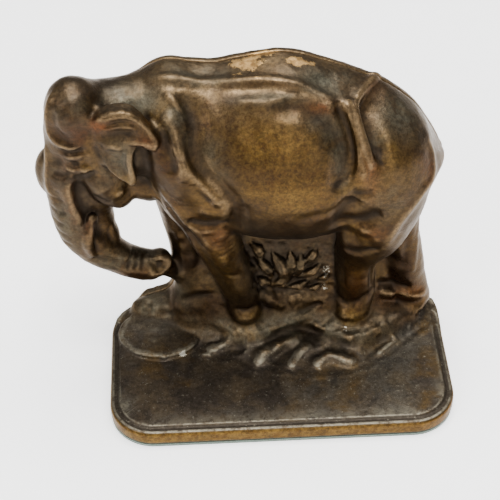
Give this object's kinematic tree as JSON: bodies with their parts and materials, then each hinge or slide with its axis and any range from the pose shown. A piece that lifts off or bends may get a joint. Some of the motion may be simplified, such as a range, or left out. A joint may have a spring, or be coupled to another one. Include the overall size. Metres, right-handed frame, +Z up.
{
  "type": "coin bank",
  "caption": "Cast iron still bank: an elephant with curled trunk in high relief on a round-cornered plinth, closed by a flat screwed rear cover with a coin slot.",
  "frame": {"origin": "middle of the plinth's underside, on the felt's resting face", "axes": "+Z up, +Y from the animal's near side to the flat rear cover, +X from its head towards its tail"},
  "size_m": [0.1513, 0.07, 0.1313],
  "materials": {
    "front_iron": "bronze plated and patinated, worn on the high points",
    "cover_iron": "bronze plated and patinated, flat ground back",
    "screw_steel": "darkened, slots worn bright",
    "green_felt": "wool felt with a fuzzy edge"
  },
  "bodies": {
    "front": {"front_casting": "front_iron", "felt_pad": "green_felt"},
    "cover": {"rear_cover": "cover_iron"},
    "shoulder_screw": {"shoulder_screw": "screw_steel"},
    "rump_screw": {"rump_screw": "screw_steel"},
    "foreleg_screw": {"foreleg_screw": "screw_steel"}
  },
  "joints": [
    {"name": "cover_removal", "type": "slide", "parent": "front", "child": "cover", "axis": [0, 1, 0], "range_m": [0, 0.045]},
    {"name": "shoulder_screw_draw", "type": "slide", "parent": "cover", "child": "shoulder_screw", "axis": [0, 1, 0], "range_m": [0, 0.012]},
    {"name": "rump_screw_draw", "type": "slide", "parent": "cover", "child": "rump_screw", "axis": [0, 1, 0], "range_m": [0, 0.012]},
    {"name": "foreleg_screw_draw", "type": "slide", "parent": "cover", "child": "foreleg_screw", "axis": [0, 1, 0], "range_m": [0, 0.012]}
  ]
}
